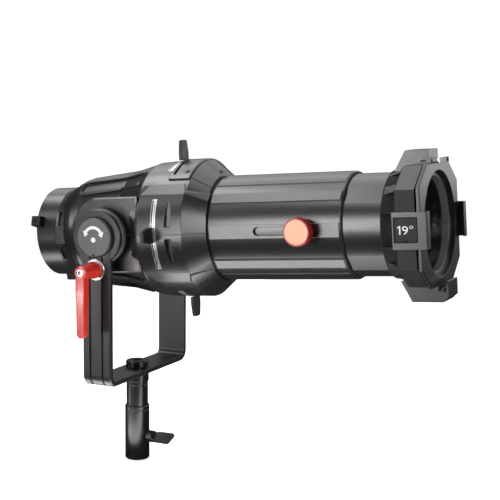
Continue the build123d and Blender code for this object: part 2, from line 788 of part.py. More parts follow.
def pivot_bolt():
    bolt = disc_y(4.0, -61, -86.5) + disc_y(14.5, -85.9, -87.1)
    bolt += disc_y(6.5, -87.0, -88.6)
    recess = Location((0, -89, 0), (90, 0, 0)) * extrude(RegularPolygon(3, 6), 3, both=True)
    return bolt - recess


for side, flip in (("near", False), ("far", True)):
    disc = tilt_disc()
    save(f"tilt_disc_{side}", tipped(mirrored(disc) if flip else disc))
save("pivot_bolts", tipped(pivot_bolt()), tipped(mirrored(pivot_bolt())))

# -------------------------------------------------------------------- yoke
BEND_R = 12.0
GROOVE_X, GROOVE_HALF, GROOVE_DEEP = 7.5, 1.1, 1.8


def u_outline(out_y, out_z, bend, x_half):
    """Filled U-shape of the strap: flat sides, rounded lower corners."""
    body = block(-x_half, x_half, -out_y, out_y, out_z, 60)
    return fillet(body.edges().filter_by(Axis.X).group_by(Axis.Z)[0], bend)


def yoke():
    outer = u_outline(ARM_OUT, BAR_BOTTOM, BEND_R, ARM_HALF)
    rim = outer.faces().filter_by(Axis.X).edges()
    outer = chamfer(rim, 1.4)
    strap = outer - u_outline(ARM_IN, BAR_TOP, BEND_R - 5.7, ARM_HALF + 5)
    side = block(-ARM_HALF, ARM_HALF, -100, 100, -200, 0) + disc_y(ARM_HALF, -100, 100)
    strap &= side
    for sign in (-1, 1):
        # round plate at the end of each arm, set a little back from its face
        plate = disc_y(HEAD_PLATE_R, sign * ARM_IN, sign * HEAD_PLATE_OUT)
        strap += chamfer(plate.edges().group_by(Axis.Y)[0 if sign < 0 else -1], 0.6)
    core_bend = BEND_R - GROOVE_DEEP
    core = u_outline(ARM_OUT - GROOVE_DEEP, BAR_BOTTOM + GROOVE_DEEP, core_bend, ARM_HALF + 5)
    for x in (-GROOVE_X, GROOVE_X):
        groove = block(x - GROOVE_HALF, x + GROOVE_HALF, -100, 100, -200, -21) - core
        strap -= groove
    for sign in (-1, 1):
        strap -= disc_y(BUSH_R, sign * 70, sign * 95)
        strap -= disc_y(1.4, sign * (ARM_OUT - 4), sign * 95, 0, -18.7)
    strap -= disc_y(STUD_R + 0.06, -70, -95, 0, CLAMP_Z)
    return strap - disc_z(PAN_BOLT_R + 0.06, BAR_BOTTOM - 5, BAR_TOP + 5)


def bush():
    return disc_y(BUSH_R, -ARM_IN, -ARM_OUT) - disc_y(TRUNNION_R + 0.05, -70, -95)


def cap():
    profile = [(-ARM_OUT, 17.4), (-ARM_OUT, CAP_R), (-CAP_FACE + 1, CAP_R)]
    profile += [(-CAP_FACE, CAP_R - 1), (-CAP_FACE, 0), (-89.2, 0), (-89.2, 17.4)]
    return turned_y(profile) - disc_y(1.4, -80, -95, 0, -18.7)


def cap_screw():
    screw = disc_y(1.4, -ARM_OUT + 4, -CAP_FACE + 0.6, 0, -18.7)
    recess = Location((0, -CAP_FACE, -18.7), (90, 0, 0)) * extrude(
        RegularPolygon(0.8, 6), 2, both=True
    )
    return screw - recess


save("yoke_strap", raised(yoke()))
save("pivot_bushes", raised(bush()), raised(mirrored(bush())))
save("pivot_caps", raised(cap()), raised(mirrored(cap())))
save("cap_screws", raised(cap_screw()), raised(mirrored(cap_screw())))


# ------------------------------------------------------------------- clamp
def brake_shoe():
    """Jaw that hooks behind the rim of the tilt disc and is pulled outwards."""
    jaw = block(-8, 8, -73.2, -68.4, -43, -22) - disc_y(DISC_HUB_R + 0.6, -60, -80)
    jaw += block(-8, 8, -ARM_IN, -73.2, -43, -38.5)
    return jaw - disc_y(STUD_R + 0.06, -60, -80, 0, CLAMP_Z)


def clamp_washer():
    ring = disc_y(11.4, -ARM_OUT, -88.0, 0, CLAMP_Z)
    ring = chamfer(ring.edges().group_by(Axis.Y)[0], 0.6)
    return ring - disc_y(STUD_R + 0.06, -80, -95, 0, CLAMP_Z)


def clamp_stud():
    """Threaded stud with the toothed hub that the lever engages."""
    stud = disc_y(STUD_R, -69.5, -92, 0, CLAMP_Z)
    hub = disc_y(5.4, -88.3, -96.5, 0, CLAMP_Z)
    for i in range(12):
        a = 2 * math.pi * i / 12
        x, z = 5.6 * math.cos(a), CLAMP_Z + 5.6 * math.sin(a)
        hub -= disc_y(0.7, -89.5, -97, x, z)
    return stud + hub - disc_y(2.0, -90, -97, 0, CLAMP_Z)


def clamp_screw():
    screw = disc_y(2.0, -90, -113.5, 0, CLAMP_Z) + disc_y(3.9, -113.4, -116.6, 0, CLAMP_Z)
    recess = Location((0, -116.6, CLAMP_Z), (90, 0, 0)) * extrude(
        RegularPolygon(2.1, 6), 1.8, both=True
    )
    return screw - recess


def clamp_spring():
    """Coil spring between the screw head and the shoulder in the lever."""
    coil = Helix(pitch=1.45, height=6.2, radius=3.05)
    wire = sweep(Plane(coil @ 0, z_dir=coil % 0) * Circle(0.36), path=coil)
    # the helix rises along Z and is laid along -Y
    return Location((0, -106.6, CLAMP_Z), (90, 0, 0)) * wire


def clamp_lever():
    """Ratchet handle: hub over the stud, and a grip that hangs from its end."""
    hub = turned_y(
        [(-LEVER_BASE, 0), (-LEVER_BASE, LEVER_BASE_R), (-92, LEVER_BASE_R)]
        + [(-110, LEVER_END_R + 0.3), (-LEVER_END + 1.4, LEVER_END_R)]
        + [(-LEVER_END, LEVER_END_R - 1.4), (-LEVER_END, 0)],
        0,
        CLAMP_Z,
    )
    top, tip = CLAMP_Z, CLAMP_Z - LEVER_DROP + LEVER_TIP_R
    foot = CLAMP_Z - LEVER_DROP
    side = [(-106.5, top), (-LEVER_END + 0.4, top), (-LEVER_END, top - 20)]
    side += [(-LEVER_END + 0.8, foot), (-108.6, foot), (-107, top - 20)]
    grip = prism_x(side, -LEVER_HALF, LEVER_HALF)
    face = [(-LEVER_HALF, top), (LEVER_HALF, top), (LEVER_TIP_R, tip), (-LEVER_TIP_R, tip)]
    grip &= prism_y(face, -130, -90) + disc_y(LEVER_TIP_R, -130, -90, 0, tip)
    long_edges = grip.edges().filter_by(lambda e: e.length > 40)
    grip = chamfer(long_edges, 0.9)
    whole = hub + grip
    whole -= disc_y(6.0, -80, -104, 0, CLAMP_Z)
    whole -= disc_y(2.06, -100, -110, 0, CLAMP_Z)
    return whole - disc_y(4.1, -106, -125, 0, CLAMP_Z)


save("brake_shoe", raised(brake_shoe()))
save("clamp_washer", raised(clamp_washer()))
save("clamp_stud", raised(clamp_stud()))
save("clamp_screw", raised(clamp_screw()))
save("clamp_spring", raised(clamp_spring()))
save("clamp_lever", raised(clamp_lever()))


# ---------------------------------------------------------------- receiver
def pan_bolt():
    head_low, head_top = BAR_TOP + GAP, -147.0
    head = turned_z(
        [(0, head_low), (12.65, head_low), (12.65, head_top - 1), (11.65, head_top)]
        + [(0, head_top)]
    )
    recess = extrude(Pos(0, 0, head_top - 4) * RegularPolygon(5, 6), 6)
    return head + disc_z(PAN_BOLT_R, -186, head_low + 1) - recess


def pan_washer():
    return disc_z(12.6, COLLAR_TOP, BAR_BOTTOM - GAP) - disc_z(PAN_BOLT_R, -170, -150)


def receiver_head():
    profile = [(PAN_BOLT_R, COLLAR_TOP), (13.0, COLLAR_TOP), (13.0, COLLAR_LOW)]
    profile += [(HEAD_R, COLLAR_LOW - 0.6), (HEAD_R, -174), (HEAD_R - 0.4, -174.4)]
    profile += [(HEAD_R - 0.4, -175.2), (HEAD_R, -175.6), (HEAD_R, SOCKET_TOP)]
    profile += [(STUB_R, SOCKET_TOP), (STUB_R, STUB_LOW), (0, STUB_LOW), (0, -190)]
    return turned_z(profile + [(PAN_BOLT_R, -190)])


def receiver_socket():
    profile = [(SOCKET_R, STUB_LOW), (STUB_R, STUB_LOW), (STUB_R, SOCKET_TOP)]
    profile += [(SOCKET_OUT_R - 0.8, SOCKET_TOP)]
    profile += [(SOCKET_OUT_R, SOCKET_TOP - 0.8), (SOCKET_OUT_R, -202.4)]
    profile += [(SOCKET_OUT_R - 0.3, -202.7), (SOCKET_OUT_R - 0.3, -203.3)]
    profile += [(SOCKET_OUT_R, -203.6), (SOCKET_OUT_R, -PIVOT_Z + 1.5)]
    profile += [(SOCKET_OUT_R - 1.5, -PIVOT_Z), (SOCKET_R, -PIVOT_Z)]
    tube = turned_z(profile)
    return tube - Pos(0, 0, WING_Z) * disc_x(4.06, 5, 20)


def wing_screw():
    shank = disc_x(4.0, 8.2, 20)
    hub = disc_x(6.6, 14.2, 21) & Box(60, 20, 20)
    outline = [(17, -6.2), (26, -9), (42, -9.4), (44, -7.4), (44, 7.4), (42, 9.4)]
    outline += [(26, 9), (17, 6.2)]
    face = make_face(Polyline([(x, y, -1.9) for x, y in outline], close=True))
    wing = extrude(face, amount=3.8, dir=(0, 0, 1))
    wing = chamfer(wing.faces().filter_by(Axis.Z).edges(), 0.8)
    return Pos(0, 0, WING_Z) * Rot(18, 0, 0) * (shank + hub + wing)


save("pan_bolt", raised(pan_bolt()))
save("pan_washer", raised(pan_washer()))
save("receiver_head", raised(receiver_head()))
save("receiver_socket", raised(receiver_socket()))
save("wing_screw", raised(wing_screw()))
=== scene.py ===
import json
import math

import bpy
import bmesh
from mathutils import Matrix, Vector


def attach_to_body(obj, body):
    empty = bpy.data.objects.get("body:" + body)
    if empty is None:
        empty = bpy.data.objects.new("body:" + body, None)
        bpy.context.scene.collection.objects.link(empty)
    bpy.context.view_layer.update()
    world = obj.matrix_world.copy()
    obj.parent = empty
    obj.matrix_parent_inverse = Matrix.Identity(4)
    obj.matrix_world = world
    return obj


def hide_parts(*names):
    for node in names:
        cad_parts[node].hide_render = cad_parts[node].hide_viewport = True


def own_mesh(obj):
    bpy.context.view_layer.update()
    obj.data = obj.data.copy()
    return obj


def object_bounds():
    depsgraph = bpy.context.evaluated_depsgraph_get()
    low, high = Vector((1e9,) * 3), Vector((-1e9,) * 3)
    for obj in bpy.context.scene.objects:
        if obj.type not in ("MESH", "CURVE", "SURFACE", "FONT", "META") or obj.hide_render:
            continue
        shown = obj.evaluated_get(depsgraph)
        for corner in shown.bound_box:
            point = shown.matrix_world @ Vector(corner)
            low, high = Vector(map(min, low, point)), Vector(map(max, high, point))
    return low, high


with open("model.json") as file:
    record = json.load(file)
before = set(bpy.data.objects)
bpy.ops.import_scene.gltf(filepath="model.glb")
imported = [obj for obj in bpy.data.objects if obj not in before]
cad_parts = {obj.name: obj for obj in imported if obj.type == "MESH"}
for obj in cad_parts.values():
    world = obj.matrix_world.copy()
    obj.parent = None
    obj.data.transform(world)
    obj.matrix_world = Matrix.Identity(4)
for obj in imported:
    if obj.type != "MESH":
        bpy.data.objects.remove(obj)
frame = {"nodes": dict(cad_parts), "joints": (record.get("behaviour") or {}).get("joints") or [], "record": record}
cad_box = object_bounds()
nodes = frame["nodes"]
joints = {joint["name"]: joint for joint in frame["joints"]}
scene = bpy.context.scene
MM = 0.001

# ------------------------------------------------------------------ frames
# Places on the object are in mm from the tilt pivot: X along the barrel to the front, Y away
# from the clamp side, Z up. The optical body is tipped nose-up at rest, so LEVEL takes a point
# of the untipped body to the row frame, and YOKE takes a point of the yoke, which isn't tipped.
# Materials, camera, lights and floor are in metres, in the row frame itself.
pivot = Vector(joints["tilt"]["pos_m"])
barrel_line = Vector(joints["focus"]["axis"])
tip_angle = math.atan2(barrel_line.z, barrel_line.x)
YOKE = Matrix.Translation(pivot) @ Matrix.Scale(MM, 4)
LEVEL = Matrix.Translation(pivot) @ Matrix.Rotation(-tip_angle, 4, "Y") @ Matrix.Scale(MM, 4)
ALONG_BARREL = Matrix.Rotation(math.radians(90), 4, "Y")
TO_CLAMP_SIDE = Matrix.Rotation(math.radians(90), 4, "X")


# --------------------------------------------------------------- node tools
class Net:
    """A material with a Principled shader, and short calls that add and link its nodes."""

    def __init__(self, name):
        self.mat = bpy.data.materials.new(name)
        self.mat.use_nodes = True
        self.tree = self.mat.node_tree
        self.tree.nodes.clear()
        self.out = self.tree.nodes.new("ShaderNodeOutputMaterial")
        self.bsdf = self.tree.nodes.new("ShaderNodeBsdfPrincipled")
        self.link(self.bsdf.outputs[0], self.out.inputs["Surface"])
        self.coord = self.tree.nodes.new("ShaderNodeTexCoord").outputs["Object"]

    def link(self, a, b):
        self.tree.links.new(a, b)

    def feed(self, value, socket):
        self.link(value, self.bsdf.inputs[socket])

    def set(self, **values):
        for key, value in values.items():
            self.bsdf.inputs[key.replace("_", " ")].default_value = value

    def noise(self, scale, detail=3.0, rough=0.5, stretch=None):
        n = self.tree.nodes.new("ShaderNodeTexNoise")
        n.inputs["Scale"].default_value = scale
        n.inputs["Detail"].default_value = detail
        n.inputs["Roughness"].default_value = rough
        source = self.coord
        if stretch:
            m = self.tree.nodes.new("ShaderNodeMapping")
            m.inputs["Scale"].default_value = stretch
            self.link(source, m.inputs["Vector"])
            source = m.outputs["Vector"]
        self.link(source, n.inputs["Vector"])
        return n.outputs["Fac"]

    def remap(self, value, lo, hi, to_lo, to_hi):
        n = self.tree.nodes.new("ShaderNodeMapRange")
        n.inputs["From Min"].default_value = lo
        n.inputs["From Max"].default_value = hi
        n.inputs["To Min"].default_value = to_lo
        n.inputs["To Max"].default_value = to_hi
        self.link(value, n.inputs["Value"])
        return n.outputs["Result"]

    def math(self, op, a, b):
        n = self.tree.nodes.new("ShaderNodeMath")
        n.operation = op
        for i, v in enumerate((a, b)):
            if isinstance(v, (int, float)):
                n.inputs[i].default_value = v
            else:
                self.link(v, n.inputs[i])
        return n.outputs[0]

    def mix(self, fac, a, b):
        n = self.tree.nodes.new("ShaderNodeMix")
        n.data_type = "RGBA"
        for i, v in ((0, fac), (6, a), (7, b)):
            if isinstance(v, (int, float)):
                n.inputs[i].default_value = v
            elif isinstance(v, tuple):
                n.inputs[i].default_value = (*v[:3], 1.0)
            else:
                self.link(v, n.inputs[i])
        return n.outputs[2]

    def clouded(self, tone, spread, scale, detail):
        """The tone, drifting by `spread` either way in soft clouds."""
        cloud = self.noise(scale, detail, 0.6)
        dark = tuple(c * (1 - spread) for c in tone)
        light = tuple(min(1.0, c * (1 + spread)) for c in tone)
        return self.mix(self.remap(cloud, 0.3, 0.7, 0.0, 1.0), dark, light)

    def bevel(self, radius):
        n = self.tree.nodes.new("ShaderNodeBevel")
        n.samples = 4
        n.inputs["Radius"].default_value = radius
        return n.outputs["Normal"]

    def edges(self, bevelled):
        """Mask of outer and inner edges: where the rounded normal leaves the true one."""
        geo = self.tree.nodes.new("ShaderNodeNewGeometry")
        dot = self.tree.nodes.new("ShaderNodeVectorMath")
        dot.operation = "DOT_PRODUCT"
        self.link(bevelled, dot.inputs[0])
        self.link(geo.outputs["Normal"], dot.inputs[1])
        gap = self.math("SUBTRACT", 1.0, dot.outputs["Value"])
        gain = 6.0
        return self.math("MINIMUM", self.math("MULTIPLY", gap, gain), 1.0)

    def wear_and_highlight_edges(self, base, rounded, patches, wear_and_highlight, wear_and_highlight_tone):
        """The base colour with lighter edges, more so in patches: partly rubbed paint, partly painted highlight.
        """
        mask = self.math("MULTIPLY", self.edges(rounded), patches)
        return self.mix(self.math("MULTIPLY", mask, wear_and_highlight), base, wear_and_highlight_tone)

    def bump(self, height, strength, distance, normal=None):
        n = self.tree.nodes.new("ShaderNodeBump")
        n.inputs["Strength"].default_value = strength
        n.inputs["Distance"].default_value = distance
        self.link(height, n.inputs["Height"])
        if normal is not None:
            self.link(normal, n.inputs["Normal"])
        self.feed(n.outputs["Normal"], "Normal")


# ---------------------------------------------------------------- materials
def painted(name, tone, rough=0.42, grain=900.0, grain_up=0.015, wear_and_highlight=0.35, edge=0.0007,
            wear_and_highlight_tone=(0.13, 0.13, 0.135), coat=0.0, spread=0.15, shine=1.0):
    """Powder coat or paint: fine orange peel, cloudy tone, edges lighter from rubbing and from painted highlight.
    """
    net = Net(name)
    fine = net.noise(grain, 2.0, 0.5)
    scuff = net.noise(60.0, 6.0, 0.7, (1.0, 2.2, 1.4))
    rounded = net.bevel(edge)
    base = net.clouded(tone, spread, 14.0, 4.0)
    # edges take the lighter tone: rubbed paint, and a painted highlight along them
    net.feed(net.wear_and_highlight_edges(base, rounded, net.remap(scuff, 0.40, 0.80, 0.45, 1.0), wear_and_highlight, wear_and_highlight_tone), "Base Color")
    smear = net.remap(scuff, 0.3, 0.75, rough - 0.015, rough + 0.035)
    net.feed(net.math("ADD", smear, net.remap(fine, 0.2, 0.8, -0.02, 0.02)), "Roughness")
    net.set(Coat_Weight=coat, Coat_Roughness=0.12, Specular_IOR_Level=shine)
    net.bump(fine, grain_up, 0.0003, rounded)
    return net.mat


def metal(name, tone, rough=0.28):
    """Bare metal with fine machining marks and dull smears."""
    net = Net(name)
    marks = net.noise(300.0, 3.0, 0.6)
    smear = net.noise(45.0, 5.0, 0.65)
    dull = tuple(c * 0.7 for c in tone)
    net.feed(net.mix(net.remap(smear, 0.35, 0.7, 0.0, 1.0), tone, dull), "Base Color")
    machined = net.remap(marks, 0.3, 0.7, rough - 0.08, rough + 0.08)
    net.feed(net.math("ADD", machined, net.remap(smear, 0.3, 0.7, -0.03, 0.08)), "Roughness")
    net.set(Metallic=1.0)
    net.bump(marks, 0.12, 0.0002, net.bevel(0.0004))
    return net.mat


def plastic(name, tone, rough=0.5, grain=1500.0, grain_up=0.15, spread=0.2, coat=0.0, wear_and_highlight_tone=None):
    """Moulded plastic, print or felt: fine grain, cloudy tone, slightly lighter edges."""
    net = Net(name)
    fine = net.noise(grain, 1.0, 0.5)
    scuff = net.noise(110.0, 6.0, 0.75)
    rounded = net.bevel(0.0006)
    wear_and_highlight_tone = wear_and_highlight_tone or tuple(min(1, c * 2.2 + 0.03) for c in tone)
    base = net.clouded(tone, spread, 40.0, 3.0)
    net.feed(net.wear_and_highlight_edges(base, rounded, net.remap(scuff, 0.4, 0.7, 0.1, 1.0), 0.25, wear_and_highlight_tone), "Base Color")
    net.feed(net.remap(scuff, 0.3, 0.75, rough - 0.07, rough + 0.1), "Roughness")
    net.set(Coat_Weight=coat, Coat_Roughness=0.1)
    net.bump(fine, grain_up, 0.0003, rounded)
    return net.mat


def glass(name):
    """Clear coated glass with faint smears."""
    net = Net(name)
    smear = net.noise(55.0, 4.0, 0.6)
    net.feed(net.remap(smear, 0.35, 0.75, 0.01, 0.05), "Roughness")
    tint = net.mix(net.remap(smear, 0.3, 0.7, 0.0, 1.0), (0.93, 0.97, 0.96), (0.88, 0.93, 0.95))
    net.feed(tint, "Base Color")
    net.set(IOR=1.5, Transmission_Weight=1.0, Coat_Weight=0.3)
    net.bump(net.noise(20.0, 1.0), 0.02, 0.0002)
    return net.mat


MATERIALS = {
    "black_paint": painted("black_paint", (0.007, 0.007, 0.0075), 0.285),
    "grey_paint": painted("grey_paint", (0.060, 0.060, 0.063), 0.46, wear_and_highlight_tone=(0.20, 0.20, 0.21)),
    "cap_paint": painted("cap_paint", (0.040, 0.040, 0.042), 0.44),
    "strap_paint": painted("strap_paint", (0.010, 0.010, 0.011), 0.32, 700.0, 0.02, shine=0.6),
    "socket_paint": painted("socket_paint", (0.005, 0.005, 0.0055), 0.24, shine=0.6),
    "tube_paint": painted("tube_paint", (0.007, 0.007, 0.0075), 0.30, 1400.0),
    "claw_grey": painted("claw_grey", (0.009, 0.009, 0.010), 0.30, shine=0.85),
    # darker, duller copy of the black paint for the drum's upright sides: painted shade
    "drum_painted_shade": painted("drum_painted_shade", (0.006, 0.006, 0.0065), 0.55, shine=0.5),
    "ring_grey": painted("ring_grey", (0.12, 0.12, 0.125), 0.34),
    "latch_grey": painted("latch_grey", (0.12, 0.12, 0.125), 0.36),
    "red_lever": painted("red_lever", (0.60, 0.022, 0.010), 0.24, 250.0, 0.01, 0.04, 0.0034,
                         wear_and_highlight_tone=(0.9, 0.30, 0.20), coat=1.0, spread=0.04),
    "black_steel": metal("black_steel", (0.05, 0.05, 0.052), 0.38),
    "bright_steel": metal("bright_steel", (0.72, 0.72, 0.73), 0.26),
    "spring_steel": metal("spring_steel", (0.5, 0.5, 0.52), 0.3),
    "bright_alu": metal("bright_alu", (0.86, 0.86, 0.87), 0.34),
    "ring_alu": metal("ring_alu", (0.30, 0.30, 0.31), 0.45),
    "bronze": metal("bronze", (0.52, 0.34, 0.15), 0.4),
    "glass": glass("glass"),
    "grip_plastic": plastic("grip_plastic", (0.004, 0.004, 0.0045), 0.42),
    "red_knob": plastic("red_knob", (0.34, 0.010, 0.008), 0.34, 500.0, 0.08, coat=0.3,
                        wear_and_highlight_tone=(0.7, 0.14, 0.09)),
    # the knob's face: brighter and more orange than the knob's own red, a painted highlight of the light on the
    # face
    "orange_face": plastic("orange_face", (0.95, 0.25, 0.07), 0.34, 900.0, 0.04, 0.06, coat=0.6),
    "label_grey": plastic("label_grey", (0.014, 0.014, 0.015), 0.62),
    "white_print": plastic("white_print", (0.85, 0.85, 0.85), 0.5, 900.0, 0.05, 0.04),
    "felt_black": plastic("felt_black", (0.006, 0.006, 0.0065), 0.85, 2500.0, 0.5),
}

# a node takes the finish that its material slot names, apart from these
FINISH = {"pivot_caps": "cap_paint", "lens_tube": "tube_paint", "lens_rings": "ring_grey",
          "receiver_head": "socket_paint", "receiver_socket": "socket_paint", "pan_bolt": "socket_paint"}


# ---------------------------------------------------------------- CAD nodes
SHARP = 13                              # degrees: a corner that turns more than this stays crisp
GATE_SHARP = 20                         # the same on the two gate casings
GATE_CASINGS = ("casing_gate_upper", "casing_gate_lower")

FLAT_AREA = 60e-6                       # square metres: a plane larger than this is a flat
FLAT_TURN = math.radians(2.0)           # a flat's outline is crisp where the shape turns this much
NOSE_TURN = math.radians(24)            # on the nose, only corners sharper than this are crisp
NOSE_START = 97.0
NOSE_SIDE = (95.6, 115.4)               # the cone on each side of the nose, along the barrel
NOSE_SLOPE = math.atan2(16.6, 20.0)
NOSE_REACH = math.radians(33.2)         # how far that cone goes above and below the middle

DRUM_LONG = (318, 343)                  # upright sides of the front drum, along the barrel
DRUM_WIDE = (60, 64.4)                  # and out from its middle


def dress(name, obj, slot):
    """Give a CAD node its finish, and smooth shading between crisp corners."""
    obj.data.materials.clear()
    obj.data.materials.append(MATERIALS[FINISH.get(name, slot)])
    for poly in obj.data.polygons:
        poly.material_index = 0
    obj.data.shade_smooth()
    sharp = GATE_SHARP if name in GATE_CASINGS else SHARP
    obj.data.set_sharp_from_angle(angle=math.radians(sharp))


def large_flats(bm, to_level):
    """Indices of the faces that lie in a large plane behind the nose."""
    # faces share a plane when their unit normals agree to 1/250 and their offsets to 0.05 mm
    facing_steps, offset_steps = 250, 20000
    planes = {}
    for f in bm.faces:
        facing = tuple(round(c * facing_steps) for c in f.normal)
        offset = round(f.normal.dot(f.verts[0].co) * offset_steps)
        planes.setdefault((facing, offset), []).append(f)
    flat = set()
    for group in planes.values():
        if sum(f.calc_area() for f in group) > FLAT_AREA:
            flat.update(f.index for f in group if (to_level @ f.calc_center_median()).x < NOSE_START)
    return flat


def crisp_flats(obj):
    """Keep the outlines of flats sharp, even where the shape turns little, and the nose smooth."""
    bm = bmesh.new()
    bm.from_mesh(obj.data)
    bm.normal_update()
    to_level = LEVEL.inverted() @ obj.matrix_world
    flat = large_flats(bm, to_level)
    for e in bm.edges:
        if len(e.link_faces) != 2:
            continue
        turn = e.calc_face_angle()
        if min((to_level @ f.calc_center_median()).x for f in e.link_faces) > NOSE_START:
            e.smooth = e.smooth or turn < NOSE_TURN
        elif turn > FLAT_TURN and any(f.index in flat for f in e.link_faces):
            e.smooth = False
    bm.to_mesh(obj.data)
    bm.free()


def round_nose(obj):
    """Shade each faceted side of the nose as part of a cone; only its normals change."""
    mesh = obj.data
    to_level = LEVEL.inverted() @ obj.matrix_world
    spin = LEVEL.to_quaternion().to_matrix()
    ahead, out = math.sin(NOSE_SLOPE), math.cos(NOSE_SLOPE)
    normals = [corner.vector.copy() for corner in mesh.corner_normals]
    for poly in mesh.polygons:
        at, way = to_level @ poly.center, spin.transposed() @ poly.normal
        outward = (way.y * at.y + way.z * at.z) / math.hypot(at.y, at.z)
        side_on = math.atan2(abs(at.z), abs(at.y)) < NOSE_REACH
        if not (NOSE_SIDE[0] < at.x < NOSE_SIDE[1] and side_on and way.x > 0.3 and outward > 0.5):
            continue
        for k in poly.loop_indices:
            v = to_level @ mesh.vertices[mesh.loops[k].vertex_index].co
            r = math.hypot(v.y, v.z)
            normals[k] = spin @ Vector((ahead, out * v.y / r, out * v.z / r))
    mesh.normals_split_custom_set(normals)


def shade_drum_sides(drum):
    """The two upright sides of the front drum get a darker, duller copy of the paint as painted shade; its claws
    and plate keep their sheen.
    """
    drum.data.materials.append(MATERIALS["drum_painted_shade"])
    to_level = LEVEL.inverted() @ drum.matrix_world
    for poly in drum.data.polygons:
        at = to_level @ poly.center
        upright = abs(poly.normal.y) > 0.9
        if upright and DRUM_LONG[0] < at.x < DRUM_LONG[1] and DRUM_WIDE[0] < abs(at.y) < DRUM_WIDE[1]:
            poly.material_index = 1


for subpart in frame["record"]["subparts"]:
    dress(subpart["node"], nodes[subpart["node"]], subpart["material_slot"])
for casing in GATE_CASINGS:
    crisp_flats(nodes[casing])
    round_nose(nodes[casing])
shade_drum_sides(nodes["front_holder"])


# ------------------------------------------------------------ piece helpers
# Helpers draw in u, v and w: u and v across, w along the thickness or the axis.
def attach(obj, body, material):
    """Put a piece in the scene, with its finish, on the body that it moves with."""
    scene.collection.objects.link(obj)
    obj.data.materials.clear()
    obj.data.materials.append(MATERIALS[material])
    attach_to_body(obj, body)
    return obj


def piece(name, bm, matrix, body, material):
    """New object from a bmesh, moved by the matrix into the row frame."""
    mesh = bpy.data.meshes.new(name)
    bmesh.ops.recalc_face_normals(bm, faces=bm.faces)
    bm.to_mesh(mesh)
    bm.free()
    mesh.transform(matrix)
    mesh.update()
    mesh.shade_smooth()
    mesh.set_sharp_from_angle(angle=math.radians(40))
    return attach(bpy.data.objects.new(name, mesh), body, material)


def on_circle(radius, degrees):
    a = math.radians(degrees)
    return (radius * math.cos(a), radius * math.sin(a))


def oval(wide, high, down, span, steps):
    """Points of an oval's outline, its middle `down` below the origin, over `span` degrees."""
    around = [on_circle(1, span * i / steps) for i in range(steps)]
    return [(wide * u, high * v - down) for u, v in around]


def plate_from(outline, thick):
    """Flat plate from (u, v) points."""
    bm = bmesh.new()
    face = bm.faces.new([bm.verts.new((u, v, 0)) for u, v in outline])
    top = bmesh.ops.extrude_face_region(bm, geom=[face])["geom"]
    raised = [v for v in top if isinstance(v, bmesh.types.BMVert)]
    bmesh.ops.translate(bm, vec=(0, 0, thick), verts=raised)
    return bm


def ring_of(profile, segments=128):
    """Closed ring about w from (radius, w) points."""
    bm = bmesh.new()
    rows = []
    for k in range(segments):
        a = 2 * math.pi * k / segments
        rows.append([bm.verts.new((r * math.cos(a), r * math.sin(a), w)) for r, w in profile])
    n = len(profile)
    for k in range(segments):
        row, following = rows[k], rows[(k + 1) % segments]
        for i in range(n):
            j = (i + 1) % n
            bm.faces.new((row[i], following[i], following[j], row[j]))
    return bm


def frame_of(outer, inner, thick):
    """Rectangular frame from half sizes (u, v)."""
    bm = bmesh.new()
    corners = ((-1, -1), (1, -1), (1, 1), (-1, 1))
    loops = []
    for (u, v), w in ((outer, 0.0), (inner, 0.0), (inner, thick), (outer, thick)):
        loops.append([bm.verts.new((x * u, y * v, w)) for x, y in corners])
    for a in range(4):
        b = (a + 1) % 4
        for k in range(4):
            m = (k + 1) % 4
            bm.faces.new((loops[a][k], loops[a][m], loops[b][m], loops[b][k]))
    return bm


def coil_of(radius, wire, pitch, height, around=14, per_turn=36):
    """Round-wire coil about w, with a nearly flat half turn at each end."""
    bm = bmesh.new()
    turns = height / pitch + 1.0
    count = int(turns * per_turn)
    rows = []
    for i in range(count + 1):
        t = i / count * turns
        rise = min(max(t - 0.5, 0.0), turns - 1.0) * pitch
        rise += (min(t, 0.5) + max(t - turns + 0.5, 0.0) - 0.5) * 2 * wire
        a = 2 * math.pi * t
        out = Vector((math.cos(a), math.sin(a), 0))
        row = []
        for k in range(around):
            b = 2 * math.pi * k / around
            point = out * (radius + wire * math.cos(b)) + Vector((0, 0, rise + wire * math.sin(b)))
            row.append(bm.verts.new(point))
        rows.append(row)
    for row, following in zip(rows, rows[1:]):
        for k in range(around):
            m = (k + 1) % around
            bm.faces.new((row[k], row[m], following[m], following[k]))
    bm.faces.new(rows[0][::-1])
    bm.faces.new(rows[-1])
    return bm


def facing_out(side):
    """Matrix with u level, v up and w out of a side: -1 is the clamp side, 1 the other."""
    return Matrix(((-side, 0, 0, 0), (0, 0, side, 0), (0, 1, 0, 0), (0, 0, 0, 1)))


SIDES = ((-1, "near"), (1, "far"))


# ---------------------------------- tilt symbol on the yoke's round covers
CAP_FACE = 90.45                        # outer face of a cover, from the middle of the yoke
SYMBOL_THICK = 0.25
ARROW_R, ARROW_WIDE, ARROW_HEAD = 10.6, 3.2, 5.2
ARROW_SPAN = (30, 150)                  # degrees
DOT_R, DOT_DOWN = 2.8, 2.4


def arc_arrow(radius, width, start, end, head):
    """Curved bar from start to end, in degrees, with an arrow head at each end."""
    steps = 24
    angles = [start + (end - start) * i / steps for i in range(steps + 1)]
    outer = [on_circle(radius + width / 2, a) for a in angles]
    inner = [on_circle(radius - width / 2, a) for a in angles]
    wide = head * 0.72
    reach = math.degrees(head / radius)

    def barb(angle, way):
        """Outer corner, point and inner corner of one arrow head."""
        return [on_circle(radius + wide, angle), on_circle(radius, angle + way * reach),
                on_circle(radius - wide, angle)]

    return outer + barb(end, 1) + inner[::-1] + barb(start, -1)[::-1]


